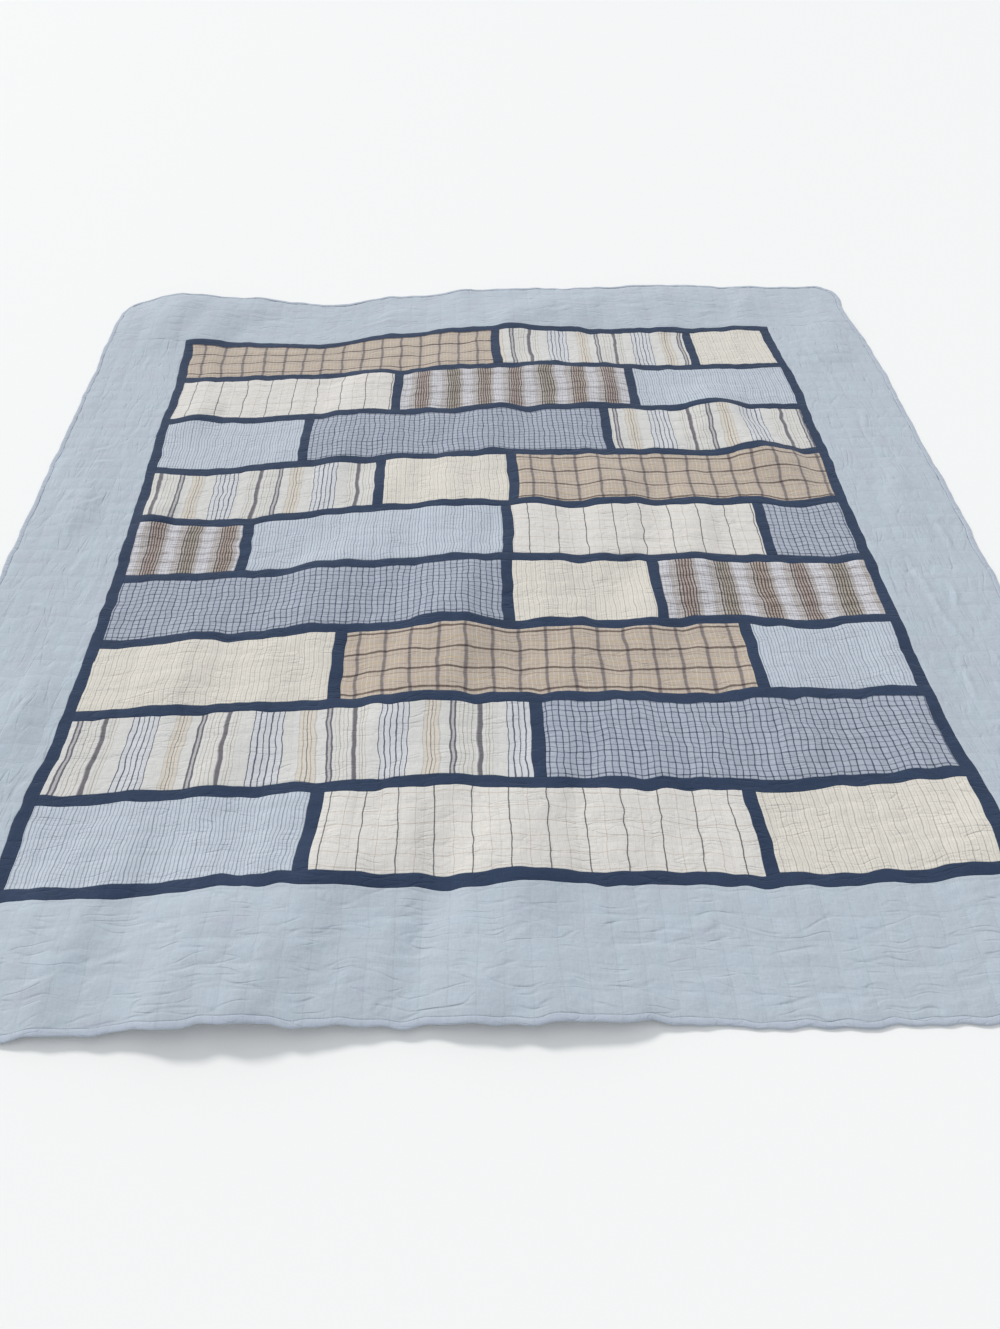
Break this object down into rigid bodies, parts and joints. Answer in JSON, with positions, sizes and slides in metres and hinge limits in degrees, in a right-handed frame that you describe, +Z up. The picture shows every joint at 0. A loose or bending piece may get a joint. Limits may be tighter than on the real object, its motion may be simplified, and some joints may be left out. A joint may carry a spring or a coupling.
{
  "type": "patchwork quilt",
  "caption": "Patchwork quilt laid face up in soft swells: long woven cotton patches in rows, navy sashing, wide pale blue border, narrow binding, rounded corners.",
  "frame": {"origin": "on the surface that the quilt lies on, below the middle of its outline", "axes": "+X across the quilt to the right, +Y from the foot to the head, +Z up out of its face"},
  "size_m": [2.242, 2.3624, 0.0394],
  "materials": {
    "patchwork": "matte woven cotton patches in checks and stripes, with navy sashing, quilted",
    "sashing_cloth": "matte navy cotton chambray",
    "backing_cloth": "matte pale blue plain-woven cotton, quilted",
    "border_cloth": "matte pale blue cotton chambray, quilted",
    "binding_cloth": "matte pale blue cotton chambray, folded and stitched"
  },
  "bodies": {
    "root": {"centre_panel": "patchwork", "border_head": "border_cloth", "border_foot": "border_cloth", "border_left": "border_cloth", "border_right": "border_cloth", "binding_head": "binding_cloth", "binding_foot": "binding_cloth", "binding_left": "binding_cloth", "binding_right": "binding_cloth"}
  },
  "joints": []
}
